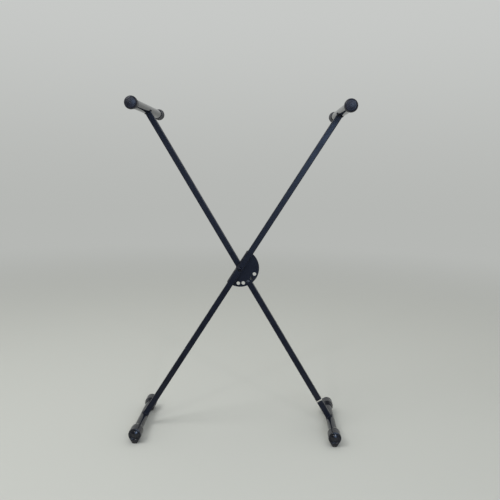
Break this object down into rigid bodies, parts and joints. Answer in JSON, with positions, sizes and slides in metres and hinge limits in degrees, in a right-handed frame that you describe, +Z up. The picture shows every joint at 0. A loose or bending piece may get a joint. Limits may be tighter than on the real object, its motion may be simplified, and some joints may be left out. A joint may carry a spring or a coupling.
{
  "type": "folding single-X keyboard stand",
  "caption": "Folding X stand of two crossed square legs with round arms and foot bars, a half-moon height plate, a spring pull knob and rubber ends.",
  "frame": {"origin": "on the floor, below the pivot bolt, midway between the two legs", "axes": "+X to the right as seen from the front, +Y from front to back along the arms and the pivot bolt, +Z up"},
  "size_m": [0.5304, 0.3634, 0.8395],
  "materials": {
    "gloss_black_bar": "gloss black enamel on round steel tube",
    "satin_black_leg": "satin black powder coat on square steel tube",
    "satin_black_plate": "satin black powder coat on pressed steel plate",
    "painted_weld": "weld beads under satin black powder coat",
    "cap_rubber": "moulded black rubber, matt",
    "boot_rubber": "moulded black rubber, satin",
    "black_zinc": "black zinc plate",
    "bright_zinc": "bright zinc plate",
    "nylon": "natural white nylon",
    "black_nylon": "black nylon",
    "black_barrel": "satin black powder coat",
    "turned_steel": "turned and zinc plated steel",
    "spring_wire": "drawn spring steel",
    "knob_plastic": "moulded black plastic",
    "band_white": "off-white polyester band"
  },
  "bodies": {
    "frame_a": {"leg_a_tube": "satin_black_leg", "leg_a_welds": "painted_weld", "arm_a_tube": "gloss_black_bar", "arm_a_cap_front": "cap_rubber", "arm_a_cap_rear": "cap_rubber", "foot_a_tube": "gloss_black_bar", "foot_a_boot_front": "boot_rubber", "foot_a_boot_rear": "boot_rubber", "selector_plate": "satin_black_plate", "plate_welds": "painted_weld", "pivot_bolt": "black_zinc", "pivot_head_washer": "black_zinc", "pivot_crush_sleeve": "bright_zinc", "pivot_spacer": "black_nylon", "pivot_tail_washer": "bright_zinc", "pivot_lock_nut": "bright_zinc", "pivot_lock_nut_ring": "nylon"},
    "frame_b": {"leg_b_tube": "satin_black_leg", "leg_b_welds": "painted_weld", "arm_b_tube": "gloss_black_bar", "arm_b_cap_front": "cap_rubber", "arm_b_cap_rear": "cap_rubber", "foot_b_tube": "gloss_black_bar", "foot_b_boot_front": "boot_rubber", "foot_b_boot_rear": "boot_rubber", "leg_b_band": "band_white", "pivot_bush": "nylon", "plunger_barrel": "black_barrel", "plunger_gland": "black_barrel"},
    "plunger": {"plunger_pin": "turned_steel", "pull_knob": "knob_plastic", "knob_screw": "bright_zinc", "plunger_spring": "spring_wire"}
  },
  "joints": [
    {"name": "fold", "type": "hinge", "parent": "frame_a", "child": "frame_b", "pos_m": [0, 0, 0.42971], "axis": [0, 1, 0], "range_deg": [-37, 59]},
    {"name": "plunger_pull", "type": "slide", "parent": "frame_b", "child": "plunger", "axis": [0, 1, 0], "range_m": [-0.00255, 0.004], "stiffness_N_per_m": 800, "springref_m": -0.014, "deforming": ["plunger_spring"]}
  ]
}
